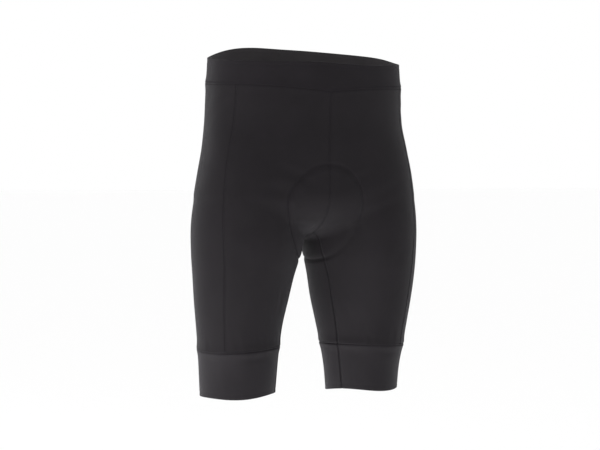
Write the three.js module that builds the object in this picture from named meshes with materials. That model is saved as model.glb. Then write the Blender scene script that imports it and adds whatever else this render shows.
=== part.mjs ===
// Cycling shorts, filled out as they are when worn, in millimetres with +Z up.
// +X is the wearer's left and the front faces -Y. The origin is the middle of the waist.
// The body that the cloth follows is a torso and two legs, blended into each other.

import * as THREE from 'three';

const DEGREE = Math.PI / 180;
const FULL_TURN = 2 * Math.PI;

// Cloth thicknesses, and the gap that two pieces keep at a seam
const PANEL_WALL = 1.2;
const BAND_WALL = 1.8;
const CUFF_WALL = 1.6;
const SEAM_GAP = 0.3;

// A table of sections. The first column says where a row stands, and a value between
// two rows lies on a smooth curve through them.
class Profile {
  constructor(names, rows) {
    this.names = names;
    this.rows = rows;
    this.slopes = rows.map((_, i) => this.slopesAt(i));
  }

  slopesAt(i) {
    const rows = this.rows;
    const before = Math.max(i - 1, 0);
    const after = Math.min(i + 1, rows.length - 1);
    const back = rows[i][0] - rows[before][0];
    const ahead = rows[after][0] - rows[i][0];
    return rows[i].map((value, k) => {
      const slopeBack = back ? (value - rows[before][k]) / back : 0;
      const slopeAhead = ahead ? (rows[after][k] - value) / ahead : 0;
      if (!back) return slopeAhead;
      if (!ahead) return slopeBack;
      return (slopeBack * ahead + slopeAhead * back) / (back + ahead);
    });
  }

  at(where) {
    const rows = this.rows;
    const last = rows.length - 1;
    const place = Math.min(Math.max(where, rows[0][0]), rows[last][0]);
    let i = 0;
    while (i < last - 1 && place > rows[i + 1][0]) i += 1;
    const span = rows[i + 1][0] - rows[i][0];
    const t = (place - rows[i][0]) / span;
    const values = [];
    for (let k = 1; k < this.names.length; k += 1) {
      const rise = rows[i + 1][k] - rows[i][k];
      const curl = (1 - t) * (this.slopes[i][k] * span - rise) - t * (this.slopes[i + 1][k] * span - rise);
      values.push(rows[i][k] + t * rise + t * (1 - t) * curl);
    }
    return values;
  }
}

// Torso sections. The depths are measured from the axis, and a squareness of 2 is an ellipse.
const TORSO = new Profile(
  ['z', 'half width', 'front depth', 'back depth', 'front squareness', 'back squareness'],
  [
    [-204, 167, 90, 122, 2.6, 2.0],
    [-168, 163, 90, 120, 2.9, 2.0],
    [-132, 157, 91, 116, 2.7, 2.05],
    [-97, 152, 92, 112, 2.35, 2.2],
    [-50, 149.5, 95, 108, 2.3, 2.25],
    [0, 146.5, 95, 105, 2.3, 2.3],
    [60, 145, 94, 103, 2.3, 2.3],
  ],
);

// Left leg sections. A positive lean makes the section longer from outer front to inner back.
const LEG = new Profile(
  ['z', 'centre x', 'centre y', 'half width', 'half depth', 'lean'],
  [
    [-520, 101, 16, 54.2, 54.3, -0.02],
    [-493, 101, 15.6, 55.2, 55.2, -0.02],
    [-460, 100.7, 14.8, 57.5, 57.6, 0],
    [-425, 100.3, 13.4, 61.4, 62, 0.08],
    [-390, 99.1, 12.7, 66, 67, 0.13],
    [-354, 97.1, 10.2, 72, 73, 0.14],
    [-319, 95.2, 6.5, 77, 78, 0.125],
    [-284, 92, 3.6, 82.5, 84, 0.085],
    [-240, 89.5, 2, 85, 87, 0.065],
    [-204, 86, 2, 84, 86, 0.08],
    [-165, 82, 3, 79, 82, 0.08],
    [-120, 78, 6, 70, 74, 0.05],
  ],
);

// Where the torso rounds off below, and where the legs fade out above
const SEAT_TOP = -195;
const SEAT_BOTTOM = -254;
const SEAT_FULLNESS = 26;
const SEAT_FULL_X = 38;
const SEAT_FULL_Y = 100;
const LEG_FADE = -120;
const LEG_FADE_STEEPNESS = 2;

// Mean radii that turn a section's ratio into millimetres, and the widths of the blend
const TORSO_RADIUS = 100;
const LEG_RADIUS = 75;
const HIP_BLEND = 6;
const SEAT_BLEND = 34;
const SEAT_BLEND_START = 35;
const SEAT_BLEND_SPAN = 60;
const SEAT_BLEND_TOP = -112;
const SEAT_BLEND_RISE = 80;
const CROTCH_BLEND = 26;
const CROTCH_BLEND_SPAN = 85;
const CROTCH_ROUNDING = 5;

// Waistband edges: heights round the waist, from the front, as cosines of 0, 1, 2 and 3 times
// the angle. The top edge also sways, by sines of 1, 2 and 3 times the angle, and dips a little
// in three places. The seam dips to a point at the centre front.
const WAIST_AXIS_Y = 5;
const WAIST_EDGE = [5.3, -19.8, 2.7, 1.8];
const WAIST_SWAY = [0, 0.8, 0, -1.6];
const WAIST_DIPS = [
  { angle: -110 * DEGREE, depth: 4.6, reach: 19 * DEGREE },
  { angle: 82 * DEGREE, depth: 3.2, reach: 16 * DEGREE },
  { angle: 183 * DEGREE, depth: 1.5, reach: 22 * DEGREE },
];
const BAND_SEAM = [-33.8, -14.5, 2.8, -1.5];
const BAND_DIP = 3.5;
const BAND_DIP_SPAN = 13 * DEGREE;

// Crotch junction, where the centre seam and the inseams meet, set forward of the axis
const JUNCTION_Y = -30;
const RISE_CENTRE = { y: 5, z: -120 };

// Seam angles round a section's centre, from the front towards the outside
const SIDE_SEAM_TORSO = 49 * DEGREE;
const SIDE_SEAM_JUNCTION = 45 * DEGREE;
const SIDE_SEAM_LEG = 37.5 * DEGREE;
const SIDE_SEAM_EASING = 1.6;
const INSEAM_LEG = -61.5 * DEGREE;
const INSEAM_EASING = 1.1;

// Section centres above the junction, and the heights of the sections at the outer side,
// which run evenly down while their inner ends gather at the junction
const CENTRE_X_WAIST = 60;
const CENTRE_X_JUNCTION = 85;
const CENTRE_Y_TORSO = 5;
const OUTER_Z_WAIST = -35;
const OUTER_Z_JUNCTION = -275;
const OUTER_REACH = 90;

// Cuff seam and hem: height at the leg's axis, rise towards the back and the outside, and
// a wave that is lowest at the outer front. The hem also ripples, and its join leans forward.
const CUFF_SEAM = { z: -423.4, back: -0.01, out: -0.018, sine: -1.1, ripple: 0 };
const HEM = { z: -492.7, back: -0.038, out: -0.007, sine: -1.5, ripple: 1.3 };
const RIPPLES = 3;
const RIPPLE_PEAK = 68 * DEGREE;
const INSEAM_HEM = -56.6 * DEGREE;

// Swelling of the cloth beside the waistband seam and the cuff seams
const SEAM_SWELL = 1.2;
const SEAM_SWELL_REACH = 8;

// Seat pad, by the angle round the rise centre from the front, through the crotch, to the back
const PAD_START = 20 * DEGREE;
const PAD_END = 171 * DEGREE;
const PAD = new Profile(
  ['degrees', 'half width', 'relief'],
  [
    [20, 54, 1.8],
    [46, 58, 1.8],
    [66, 50, 1.2],
    [92, 36.5, 0.3],
    [116, 52, 1],
    [138, 68, 1.8],
    [171, 62, 1.8],
  ],
);
const PAD_END_POWER = 6;
const PAD_RELIEF_RAMP = 11;
const PAD_CLEARANCE = 1.9;
const PAD_EDGE_THICKNESS = 2;
const PAD_MIDDLE_THICKNESS = 8;
const PAD_END_MARGIN = 1.2 * DEGREE;
const PAD_CROWN_RAMP = 30;
const PAD_SLOPE_FLOOR = 0.01;

// Fineness of the walls
const TORSO_ROWS = 20;
const LEG_ROWS = 12;
const LEG_ROW_POWER = 1.15;
const FRONT_COLUMNS = 11;
const BACK_COLUMNS = 22;
const BAND_ROWS = 3;
const CUFF_ROWS = 4;
const CUFF_ROW_POWER = 1.4;
const PAD_ROWS = 26;
const PAD_COLUMNS = 14;
const PAD_ROW_EASING = 0.6;
const SAMPLES_PER_COLUMN = 8;
const HALVINGS = 36;
const REACH = 260;
const TINY = 1e-6;

function mix(from, to, share) {
  return from + (to - from) * share;
}

function smoothStep(value) {
  const t = Math.min(Math.max(value, 0), 1);
  return t * t * (3 - 2 * t);
}

// How far outside the body a point lies, roughly in millimetres; below zero is inside.
function torsoDistance(x, y, z) {
  const [half, front, back, frontSquareness, backSquareness] = TORSO.at(Math.max(z, SEAT_TOP));
  const depth = y < 0 ? front : back;
  const power = y < 0 ? frontSquareness : backSquareness;
  const ratio = ((Math.abs(x) / half) ** power + (Math.abs(y) / depth) ** power) ** (1 / power);
  const fullness = smoothStep(y / SEAT_FULL_Y) * (1 - Math.exp(-((x / SEAT_FULL_X) ** 2)));
  const drop = Math.max(SEAT_TOP - z, 0) / (SEAT_TOP - SEAT_BOTTOM + SEAT_FULLNESS * fullness);
  return (Math.hypot(ratio, drop) - 1) * TORSO_RADIUS;
}

function legDistance(x, y, z) {
  const [centreX, centreY, half, depth, lean] = LEG.at(z);
  const across = (Math.hypot(x, CROTCH_ROUNDING) - centreX) / half;
  const along = (y - centreY) / depth;
  const ratio = Math.sqrt(across * across + along * along + 2 * lean * across * along);
  return (ratio - 1) * LEG_RADIUS + Math.max(z - LEG_FADE, 0) * LEG_FADE_STEEPNESS;
}

function bodyDistance(x, y, z) {
  const torso = torsoDistance(x, y, z);
  const leg = legDistance(x, y, z);
  const nearMiddle = Math.exp(-((x / CROTCH_BLEND_SPAN) ** 2));
  const isLow = smoothStep((SEAT_BLEND_TOP - z) / SEAT_BLEND_RISE);
  const atBack = smoothStep((y - SEAT_BLEND_START) / SEAT_BLEND_SPAN) * isLow;
  const blend = HIP_BLEND + (CROTCH_BLEND - HIP_BLEND) * nearMiddle + SEAT_BLEND * atBack;
  const overlap = Math.max(blend - Math.abs(torso - leg), 0) / blend;
  return Math.min(torso, leg) - (overlap * overlap * blend) / 4;
}

function outwardNormal(point) {
  const step = 0.05;
  const { x, y, z } = point;
  return new THREE.Vector3(
    bodyDistance(x + step, y, z) - bodyDistance(x - step, y, z),
    bodyDistance(x, y + step, z) - bodyDistance(x, y - step, z),
    bodyDistance(x, y, z + step) - bodyDistance(x, y, z - step),
  ).normalize();
}

// The value between an inside and an outside one at which the body ends
function edgeBetween(inside, outside, pointAt) {
  let within = inside;
  let beyond = outside;
  for (let i = 0; i < HALVINGS; i += 1) {
    const middle = (within + beyond) / 2;
    const { x, y, z } = pointAt(middle);
    if (bodyDistance(x, y, z) < 0) within = middle;
    else beyond = middle;
  }
  return (within + beyond) / 2;
}

// Heights of the waistband's edges, by the angle round the waist
function waveSum(terms, angle, wave) {
  return terms.reduce((sum, term, k) => sum + term * wave(k * angle), 0);
}

function turnBetween(angle, other) {
  const turn = angle - other;
  return Math.atan2(Math.sin(turn), Math.cos(turn));
}

function waistEdgeHeight(angle) {
  const dip = WAIST_DIPS.reduce((sum, { angle: place, depth, reach }) =>
    sum + depth * Math.exp(-((turnBetween(angle, place) / reach) ** 2)), 0);
  return waveSum(WAIST_EDGE, angle, Math.cos) + waveSum(WAIST_SWAY, angle, Math.sin) - dip;
}

function bandSeamHeight(angle) {
  const dip = BAND_DIP * Math.exp(-Math.abs(turnBetween(angle, 0)) / BAND_DIP_SPAN);
  return waveSum(BAND_SEAM, angle, Math.cos) - dip;
}

// The rise: the body's outline in its middle plane, by angle from the front through the crotch
function riseRadius(angle) {
  const pointAt = (radius) => ({
    x: 0,
    y: RISE_CENTRE.y - radius * Math.cos(angle),
    z: RISE_CENTRE.z - radius * Math.sin(angle),
  });
  return edgeBetween(0, REACH, pointAt);
}

function risePoint(angle) {
  const radius = riseRadius(angle);
  return new THREE.Vector3(
    0,
    RISE_CENTRE.y - radius * Math.cos(angle),
    RISE_CENTRE.z - radius * Math.sin(angle),
  );
}

// The angle of the rise at which a test of its point turns false
function riseAngle(from, to, isBefore) {
  let before = from;
  let after = to;
  for (let i = 0; i < HALVINGS; i += 1) {
    const middle = (before + after) / 2;
    if (isBefore(risePoint(middle))) before = middle;
    else after = middle;
  }
  return (before + after) / 2;
}

const BAND_FRONT_Z = bandSeamHeight(0);
const BAND_BACK_Z = bandSeamHeight(Math.PI);
const RISE_FRONT = riseAngle(-70 * DEGREE, 0, (point) => point.z > BAND_FRONT_Z);
const RISE_BACK = riseAngle(180 * DEGREE, 250 * DEGREE, (point) => point.z < BAND_BACK_Z);
const RISE_JUNCTION = riseAngle(10 * DEGREE, 90 * DEGREE, (point) => point.y < JUNCTION_Y);

function junctionSlope() {
  const step = 0.5 * DEGREE;
  const before = risePoint(RISE_JUNCTION - step);
  const after = risePoint(RISE_JUNCTION + step);
  return (after.z - before.z) / (after.y - before.y);
}

const JUNCTION = risePoint(RISE_JUNCTION);
const JUNCTION_SLOPE = junctionSlope();

// A section runs round one half of the garment: above the junction from the centre front to
// the centre back, and below it from the inseam, round the leg, back to the inseam.

// How far towards its outer height a section has gone at a distance from the middle plane
function outerShare(x) {
  return 1 - Math.exp(-((x / OUTER_REACH) ** 2));
}

function chordSlope(first, last) {
  return (last.z - first.z) / (last.y - first.y);
}

// The ends of a torso section on the rise, and the level that it runs at between them
function torsoLevel(share) {
  const left = 1 - share;
  const frontSpan = RISE_JUNCTION - RISE_FRONT;
  const extraBackSpan = RISE_BACK - RISE_JUNCTION - frontSpan;
  const first = risePoint(RISE_JUNCTION - frontSpan * left);
  const last = risePoint(RISE_JUNCTION + frontSpan * left + extraBackSpan * left * left);
  const slope = share < 1 ? chordSlope(first, last) : JUNCTION_SLOPE;
  const lift = mix(OUTER_Z_WAIST, OUTER_Z_JUNCTION, share) - (first.z - slope * first.y);
  const at = (x, y) => first.z + slope * (y - first.y) + lift * outerShare(x);
  return { first, last, at };
}

const WAIST_LEVEL = torsoLevel(0);

// share 0 is the waistband seam and 1 the junction
function torsoSection(share) {
  const { first, last, at: level } = torsoLevel(share);
  const centre = { x: mix(CENTRE_X_WAIST, CENTRE_X_JUNCTION, share), y: CENTRE_Y_TORSO };
  const followBand = (1 - share) ** 4;
  const height = (x, y) => {
    const seam = bandSeamHeight(Math.atan2(x, WAIST_AXIS_Y - y));
    return level(x, y) + followBand * (seam - WAIST_LEVEL.at(x, y));
  };
  const angleTo = (point) => Math.atan2(point.x - centre.x, centre.y - point.y);
  return {
    centre,
    height,
    start: angleTo(first),
    side: mix(SIDE_SEAM_TORSO, SIDE_SEAM_JUNCTION, share ** 4),
    end: angleTo(last) + FULL_TURN,
    first,
    last,
  };
}

// share 0 is the junction and 1 the cuff seam
function legSection(share) {
  const left = 1 - share;
  const junctionZ = JUNCTION.z + JUNCTION_SLOPE * (CENTRE_Y_TORSO - JUNCTION.y);
  const junctionAngle = Math.atan2(-CENTRE_X_JUNCTION, CENTRE_Y_TORSO - JUNCTION.y);
  const lift = OUTER_Z_JUNCTION - (JUNCTION.z - JUNCTION_SLOPE * JUNCTION.y);
  const z = mix(junctionZ, CUFF_SEAM.z, share);
  const [legX, legY] = LEG.at(z);
  const centre = {
    x: mix(legX, CENTRE_X_JUNCTION, left ** 3),
    y: mix(legY, CENTRE_Y_TORSO, left ** 3),
  };
  const slope = mix(CUFF_SEAM.back, JUNCTION_SLOPE, left ** 3);
  const height = (x, y, angle) =>
    z +
    slope * (y - centre.y) +
    lift * outerShare(x) * left ** 2 +
    CUFF_SEAM.out * share * (x - centre.x) +
    CUFF_SEAM.sine * share * Math.sin(2 * angle);
  const start = mix(INSEAM_LEG, junctionAngle, left ** INSEAM_EASING);
  return {
    centre,
    height,
    start,
    side: mix(SIDE_SEAM_LEG, SIDE_SEAM_JUNCTION, left ** SIDE_SEAM_EASING),
    end: start + FULL_TURN,
  };
}

// share 0 is the cuff seam and 1 the hem
function cuffSection(share) {
  const between = (name) => mix(CUFF_SEAM[name], HEM[name], share);
  const z = between('z');
  const [x, y] = LEG.at(z);
  const centre = { x, y };
  const height = (px, py, angle) =>
    z +
    between('back') * (py - y) +
    between('out') * (px - x) +
    between('sine') * Math.sin(2 * angle) +
    between('ripple') * Math.cos(RIPPLES * (angle - RIPPLE_PEAK));
  const start = mix(INSEAM_LEG, INSEAM_HEM, share);
  return { centre, height, start, side: SIDE_SEAM_LEG, end: start + FULL_TURN };
}

// The body's surface in a section, looking from its centre. It never crosses the middle plane.
function sectionPoint(section, angle) {
  const across = Math.sin(angle);
  const along = -Math.cos(angle);
  const { centre } = section;
  const pointAt = (radius) => {
    const x = centre.x + radius * across;
    const y = centre.y + radius * along;
    return { x, y, z: section.height(x, y, angle) };
  };
  const limit = across < 0 ? Math.min(REACH, -centre.x / across) : REACH;
  const { x, y, z } = pointAt(edgeBetween(0, limit, pointAt));
  return new THREE.Vector3(x, y, z);
}

function evenlySpaced(points, count) {
  const lengths = [0];
  for (let i = 1; i < points.length; i += 1) {
    lengths.push(lengths[i - 1] + points[i].distanceTo(points[i - 1]));
  }
  const total = lengths[lengths.length - 1];
  const spaced = [];
  let i = 0;
  for (let k = 0; k <= count; k += 1) {
    const goal = (total * k) / count;
    while (i < points.length - 2 && lengths[i + 1] < goal) i += 1;
    const share = (goal - lengths[i]) / (lengths[i + 1] - lengths[i]);
    spaced.push(points[i].clone().lerp(points[i + 1], share));
  }
  return spaced;
}

function sectionRow(section, from, to, columns, ends = {}) {
  const samples = columns * SAMPLES_PER_COLUMN;
  const points = [];
  for (let i = 0; i <= samples; i += 1) {
    points.push(sectionPoint(section, mix(from, to, i / samples)));
  }
  if (ends.first) points[0] = ends.first;
  if (ends.last) points[samples] = ends.last;
  return evenlySpaced(points, columns);
}

function frontRow(section) {
  return sectionRow(section, section.start, section.side, FRONT_COLUMNS, { first: section.first });
}

function backRow(section) {
  return sectionRow(section, section.side, section.end, BACK_COLUMNS, { last: section.last });
}

// Sections from the waistband seam to the cuff seam
function panelSections() {
  const sections = [];
  for (let i = 0; i < TORSO_ROWS; i += 1) {
    sections.push(torsoSection(i / TORSO_ROWS));
  }
  sections.push(torsoSection(1));
  for (let i = 1; i <= LEG_ROWS; i += 1) {
    sections.push(legSection((i / LEG_ROWS) ** LEG_ROW_POWER));
  }
  return sections;
}

// How far along the pad an angle round the rise centre lies, from 0 at its middle to 1 at an end
function padPlace(angle) {
  return Math.abs(mix(-1, 1, (angle - PAD_START) / (PAD_END - PAD_START)));
}

function padHalfWidth(angle) {
  const [width] = PAD.at(angle / DEGREE);
  return width * Math.sqrt(Math.max(1 - padPlace(angle) ** PAD_END_POWER, 0));
}

function padAngle(point) {
  return Math.atan2(RISE_CENTRE.z - point.z, RISE_CENTRE.y - point.y);
}

// About how far inside the pad's outline a point of the surface lies
function padInset(point) {
  const down = RISE_CENTRE.z - point.z;
  const forward = RISE_CENTRE.y - point.y;
  const angle = padAngle(point);
  const radius = riseRadius(angle);
  const fromMiddle = Math.hypot(point.x, Math.hypot(down, forward) - radius);
  const halfLength = (radius * (PAD_END - PAD_START)) / 2;
  const [width] = PAD.at(angle / DEGREE);
  const place = padPlace(angle);
  const level = 1 - place ** PAD_END_POWER - (fromMiddle / width) ** 2;
  const slopeAlong = (PAD_END_POWER * place ** (PAD_END_POWER - 1)) / halfLength;
  const slopeAcross = (2 * fromMiddle) / width ** 2;
  return level / Math.max(Math.hypot(slopeAlong, slopeAcross), PAD_SLOPE_FLOOR);
}

function padRelief(point) {
  const [, relief] = PAD.at(padAngle(point) / DEGREE);
  return relief * smoothStep(padInset(point) / PAD_RELIEF_RAMP);
}

function seamSwell(distance) {
  return SEAM_SWELL * Math.exp(-((distance / SEAM_SWELL_REACH) ** 2));
}

// Moves the rim of a grid of points inwards by half the seam gap
function drawIn(grid, sides) {
  const half = SEAM_GAP / 2;
  const toward = (point, neighbour) => {
    const way = neighbour.clone().sub(point).setLength(half);
    return point.clone().add(way);
  };
  const last = grid.length - 1;
  const moved = grid.map((row) => row.slice());
  if (sides.top) moved[0] = grid[0].map((point, k) => toward(point, grid[1][k]));
  if (sides.bottom) moved[last] = grid[last].map((point, k) => toward(point, grid[last - 1][k]));
  if (!sides.ends) return moved;
  return moved.map((row) => {
    const end = row.length - 1;
    const drawn = row.slice();
    drawn[0] = toward(row[0], row[1]);
    drawn[end] = toward(row[end], row[end - 1]);
    return drawn;
  });
}

function keepOffMiddle(point) {
  point.x = Math.max(point.x, SEAM_GAP / 2);
  return point;
}

// Outer and inner points of a wall. Relief raises the outer points only.
function thicken(grid, wall, relief) {
  const outer = [];
  const inner = [];
  grid.forEach((row, i) => {
    const normals = row.map(outwardNormal);
    outer.push(row.map((point, k) => point.clone().addScaledVector(normals[k], relief(point, i, k))));
    inner.push(row.map((point, k) => point.clone().addScaledVector(normals[k], -wall)));
  });
  return { outer, inner };
}

// A closed solid between an outer and an inner grid, with each quad split along its shorter
// diagonal. A ring's last column joins its first.
function closedWall({ outer, inner }, isRing, isMirrored) {
  const rows = outer.length;
  const columns = outer[0].length;
  const spans = isRing ? columns : columns - 1;
  const points = [...outer.flat(), ...inner.flat()];
  const positions = points.flatMap(({ x, y, z }) => [isMirrored ? -x : x, y, z]);
  const at = (side, i, k) => side * rows * columns + i * columns + (k % columns);
  const indices = [];
  const triangle = (a, b, c) => (isMirrored ? indices.push(a, c, b) : indices.push(a, b, c));
  const quad = (a, b, c, d) => {
    const acIsShorter = points[a].distanceTo(points[c]) < points[b].distanceTo(points[d]) + TINY;
    triangle(a, b, acIsShorter ? c : d);
    triangle(acIsShorter ? a : b, c, d);
  };
  for (let i = 0; i < rows - 1; i += 1) {
    for (let k = 0; k < spans; k += 1) {
      quad(at(0, i, k), at(0, i + 1, k), at(0, i + 1, k + 1), at(0, i, k + 1));
      quad(at(1, i, k), at(1, i, k + 1), at(1, i + 1, k + 1), at(1, i + 1, k));
    }
  }
  for (let k = 0; k < spans; k += 1) {
    const bottom = rows - 1;
    quad(at(0, 0, k), at(0, 0, k + 1), at(1, 0, k + 1), at(1, 0, k));
    quad(at(0, bottom, k), at(1, bottom, k), at(1, bottom, k + 1), at(0, bottom, k + 1));
  }
  if (!isRing) {
    const end = columns - 1;
    for (let i = 0; i < rows - 1; i += 1) {
      quad(at(0, i, 0), at(1, i, 0), at(1, i + 1, 0), at(0, i + 1, 0));
      quad(at(0, i, end), at(0, i + 1, end), at(1, i + 1, end), at(1, i, end));
    }
  }
  const geometry = new THREE.BufferGeometry();
  geometry.setAttribute('position', new THREE.Float32BufferAttribute(positions, 3));
  geometry.setIndex(indices);
  geometry.computeVertexNormals();
  return geometry;
}

// Distances of each point of a grid from its first row and its last row, down its column
function columnDistances(grid) {
  const down = grid.map((row) => row.map(() => 0));
  for (let i = 1; i < grid.length; i += 1) {
    grid[i].forEach((point, k) => {
      down[i][k] = down[i - 1][k] + point.distanceTo(grid[i - 1][k]);
    });
  }
  const last = grid.length - 1;
  const up = down.map((row) => row.map((value, k) => down[last][k] - value));
  return { down, up };
}

function panelGeometry(rows, isMirrored) {
  const { down, up } = columnDistances(rows);
  const grid = drawIn(rows, { top: true, bottom: true, ends: true });
  grid.forEach((row) => row.forEach(keepOffMiddle));
  const relief = (point, i, k) => padRelief(point) + seamSwell(down[i][k]) + seamSwell(up[i][k]);
  const wall = thicken(grid, PANEL_WALL, relief);
  [...wall.outer, ...wall.inner].forEach((row) => row.forEach(keepOffMiddle));
  return closedWall(wall, false, isMirrored);
}

function waistPoint(angle, z) {
  const pointAt = (radius) => ({
    x: radius * Math.sin(angle),
    y: WAIST_AXIS_Y - radius * Math.cos(angle),
    z,
  });
  const { x, y } = pointAt(edgeBetween(0, REACH, pointAt));
  return new THREE.Vector3(x, y, z);
}

// The waistband's columns continue the panels' columns
function waistbandGeometry(topSection) {
  const half = [...frontRow(topSection), ...backRow(topSection).slice(1)];
  const seamAngles = half.map((point) => Math.atan2(point.x, WAIST_AXIS_Y - point.y));
  const mirrored = seamAngles.slice(1, -1).reverse();
  const angles = [...seamAngles, ...mirrored.map((angle) => -angle)];
  const grid = [];
  for (let i = 0; i <= BAND_ROWS; i += 1) {
    const share = i / BAND_ROWS;
    grid.push(angles.map((angle) =>
      waistPoint(angle, mix(waistEdgeHeight(angle), bandSeamHeight(angle), share))));
  }
  const { up } = columnDistances(grid);
  const relief = (point, i, k) => seamSwell(up[i][k]);
  const band = thicken(drawIn(grid, { bottom: true }), BAND_WALL, relief);
  return closedWall(band, true, false);
}

function cuffGeometry(isMirrored) {
  const grid = [];
  for (let i = 0; i <= CUFF_ROWS; i += 1) {
    const section = cuffSection((i / CUFF_ROWS) ** CUFF_ROW_POWER);
    grid.push([...frontRow(section), ...backRow(section).slice(1, -1)]);
  }
  const { down } = columnDistances(grid);
  const relief = (point, i, k) => seamSwell(down[i][k]);
  const cuff = thicken(drawIn(grid, { top: true }), CUFF_WALL, relief);
  return closedWall(cuff, true, isMirrored);
}

// The point of the body at a straight distance from the rise, at an angle round its centre
function padPoint(angle, width) {
  const start = risePoint(angle);
  const down = new THREE.Vector3(0, -Math.cos(angle), -Math.sin(angle));
  const side = new THREE.Vector3(Math.sign(width), 0, 0);
  const pointAt = (turn) => start.clone()
    .addScaledVector(side, Math.abs(width) * Math.cos(turn))
    .addScaledVector(down, Math.abs(width) * Math.sin(turn));
  if (width === 0) return start;
  return pointAt(edgeBetween(-90 * DEGREE, 90 * DEGREE, pointAt));
}

function padGeometry() {
  const outer = [];
  const inner = [];
  for (let i = 0; i <= PAD_ROWS; i += 1) {
    const eased = (1 - Math.cos((Math.PI * i) / PAD_ROWS)) / 2;
    const share = mix(i / PAD_ROWS, eased, PAD_ROW_EASING);
    const angle = mix(PAD_START + PAD_END_MARGIN, PAD_END - PAD_END_MARGIN, share);
    const halfWidth = padHalfWidth(angle);
    const outerRow = [];
    const innerRow = [];
    for (let k = 0; k <= PAD_COLUMNS; k += 1) {
      const place = mix(-1, 1, k / PAD_COLUMNS);
      const point = padPoint(angle, halfWidth * place);
      const normal = outwardNormal(point);
      const crown = (1 - place * place) * smoothStep(padInset(risePoint(angle)) / PAD_CROWN_RAMP);
      const thickness = mix(PAD_EDGE_THICKNESS, PAD_MIDDLE_THICKNESS, crown);
      const depth = PANEL_WALL + PAD_CLEARANCE;
      outerRow.push(point.clone().addScaledVector(normal, -depth));
      innerRow.push(point.clone().addScaledVector(normal, -depth - thickness));
    }
    outer.push(outerRow);
    inner.push(innerRow);
  }
  return closedWall({ outer, inner }, false, false);
}

function knit(colour, roughness) {
  return new THREE.MeshStandardMaterial({ color: colour, roughness, metalness: 0 });
}

function piece(name, geometry, material) {
  const mesh = new THREE.Mesh(geometry, material);
  mesh.name = name;
  return mesh;
}

const panelKnit = knit(0x252427, 0.6);
const bandKnit = knit(0x2b2a2d, 0.7);
const cuffKnit = knit(0x2d2c2f, 0.55);
const padFoam = knit(0x2a2a2e, 0.85);

const shorts = new THREE.Group();
const sections = panelSections();
const frontRows = sections.map(frontRow);
const backRows = sections.map(backRow);

shorts.add(piece('waistband', waistbandGeometry(sections[0]), bandKnit));
for (const [side, isMirrored] of [['left', false], ['right', true]]) {
  shorts.add(piece(`front_${side}`, panelGeometry(frontRows, isMirrored), panelKnit));
  shorts.add(piece(`back_${side}`, panelGeometry(backRows, isMirrored), panelKnit));
  shorts.add(piece(`cuff_${side}`, cuffGeometry(isMirrored), cuffKnit));
}
shorts.add(piece('seat_pad', padGeometry(), padFoam));

export default shorts;
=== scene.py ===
# Cycling shorts in stretch knit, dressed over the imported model, with seams and stitches.
# Lengths are in millimetres until a mesh is made, and in metres on the stage. +X is the
# wearer's left, -Y the front.

import math

import bpy
import numpy as np
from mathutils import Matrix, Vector


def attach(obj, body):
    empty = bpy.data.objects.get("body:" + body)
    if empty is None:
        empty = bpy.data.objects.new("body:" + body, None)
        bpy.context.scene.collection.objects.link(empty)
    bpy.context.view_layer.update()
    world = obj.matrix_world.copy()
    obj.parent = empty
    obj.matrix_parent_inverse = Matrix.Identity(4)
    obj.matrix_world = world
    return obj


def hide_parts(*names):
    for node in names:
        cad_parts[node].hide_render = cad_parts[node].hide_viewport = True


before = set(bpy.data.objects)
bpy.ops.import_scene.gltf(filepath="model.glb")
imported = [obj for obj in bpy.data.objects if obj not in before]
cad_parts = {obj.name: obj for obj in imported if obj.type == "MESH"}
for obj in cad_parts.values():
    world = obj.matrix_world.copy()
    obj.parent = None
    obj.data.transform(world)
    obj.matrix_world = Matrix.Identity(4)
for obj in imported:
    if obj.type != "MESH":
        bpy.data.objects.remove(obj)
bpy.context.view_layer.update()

MM = 0.001
DEGREE = math.pi / 180
FULL_TURN = 2 * math.pi

# Cloth thicknesses
PANEL_WALL = 1.2
BAND_WALL = 1.8
CUFF_WALL = 1.6


class Profile:
    """A table of sizes. The first column is the place, and rows are joined by a smooth curve."""

    def __init__(self, rows):
        table = np.array(rows, float)
        self.place = table[:, 0]
        self.value = table[:, 1:]
        step = np.diff(self.place)[:, None]
        chord = np.diff(self.value, axis=0) / step
        inner = (chord[:-1] * step[1:] + chord[1:] * step[:-1]) / (step[:-1] + step[1:])
        self.slope = np.vstack([chord[:1], inner, chord[-1:]])

    def at(self, where):
        place = np.clip(where, self.place[0], self.place[-1])
        i = np.clip(np.searchsorted(self.place, place) - 1, 0, len(self.place) - 2)
        span = self.place[i + 1] - self.place[i]
        t = ((place - self.place[i]) / span)[..., None]
        span = span[..., None]
        rise = self.value[i + 1] - self.value[i]
        curl = (1 - t) * (self.slope[i] * span - rise) - t * (self.slope[i + 1] * span - rise)
        return np.moveaxis(self.value[i] + t * rise + t * (1 - t) * curl, -1, 0)


# Torso sections. The depths are measured from the axis, and a squareness of 2 is an ellipse.
TORSO = Profile(
    [
        # z, half width, front depth, back depth, front squareness, back squareness
        [-204, 167, 90, 122, 2.6, 2.0],
        [-168, 163, 90, 120, 2.9, 2.0],
        [-132, 157, 91, 116, 2.7, 2.05],
        [-97, 152, 92, 112, 2.35, 2.2],
        [-50, 149.5, 95, 108, 2.3, 2.25],
        [0, 146.5, 95, 105, 2.3, 2.3],
        [60, 145, 94, 103, 2.3, 2.3],
    ],
)

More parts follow.
